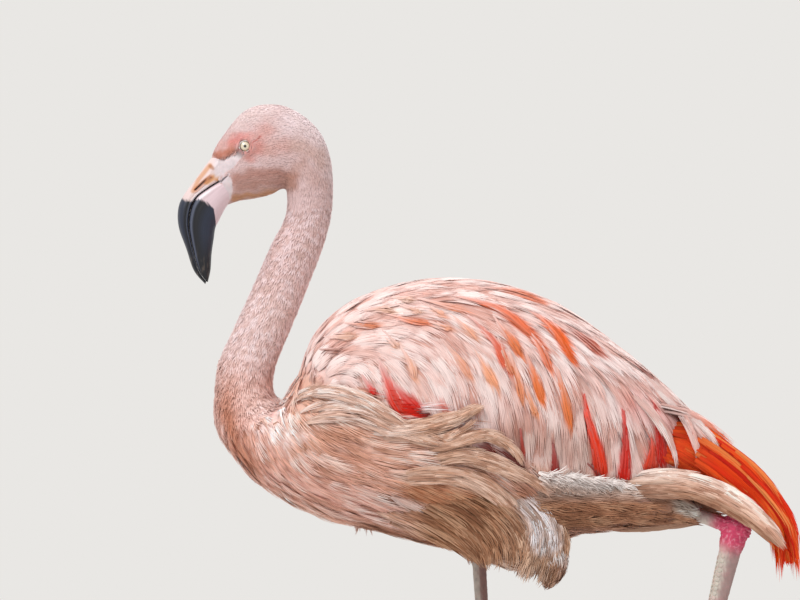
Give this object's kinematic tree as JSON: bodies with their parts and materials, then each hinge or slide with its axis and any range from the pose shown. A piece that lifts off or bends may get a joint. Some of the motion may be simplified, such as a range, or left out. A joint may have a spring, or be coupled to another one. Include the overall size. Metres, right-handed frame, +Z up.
{
  "type": "chilean flamingo model",
  "caption": "Life-size still model of an adult Chilean flamingo standing on one leg with the other lifted, neck in an easy curve.",
  "frame": {"origin": "middle of the standing right foot's sole, on the floor", "axes": "+Z up, the bird faces -X, its left side is -Y"},
  "size_m": [0.5772, 0.1822, 0.881],
  "materials": {
    "plumage_head": "short smooth feathers, pale pink with a salmon flush round the eye",
    "plumage_neck": "short soft feathers, pale pink",
    "plumage_body": "soft silky feathers, peach and tan with whitish streaks",
    "plumage_pale": "loose whitish pink feathers",
    "plumage_wing": "long pointed feathers, pink white with orange streaks",
    "plumage_orange": "long narrow drooping plumes, orange red",
    "horn_pale": "horn, pale pink at the base and black beyond the bend",
    "horn_dark": "horn, black, pale pink at the base",
    "eye": "wet eye, pale yellow iris and small black pupil",
    "leg_skin": "scaly grey skin",
    "ankle_skin": "wrinkled pink skin",
    "claw": "dark horn"
  },
  "bodies": {
    "root": {"head": "plumage_head", "neck_upper": "plumage_neck", "neck_middle": "plumage_neck", "neck_lower": "plumage_neck", "trunk": "plumage_body", "tail": "plumage_pale", "thigh_left": "plumage_pale", "thigh_right": "plumage_pale", "wing_left": "plumage_wing", "wing_right": "plumage_wing", "plumes_left": "plumage_orange", "plumes_right": "plumage_orange", "upper_bill": "horn_pale", "lower_bill": "horn_dark", "eye_left": "eye", "eye_right": "eye", "shank_left": "leg_skin", "ankle_left": "ankle_skin", "tarsus_left": "leg_skin", "foot_left": "leg_skin", "claw_left_inner": "claw", "claw_left_middle": "claw", "claw_left_outer": "claw", "shank_right": "leg_skin", "ankle_right": "ankle_skin", "tarsus_right": "leg_skin", "foot_right": "leg_skin", "claw_right_inner": "claw", "claw_right_middle": "claw", "claw_right_outer": "claw", "flank_left": "plumage_body", "flank_right": "plumage_body"}
  },
  "joints": []
}
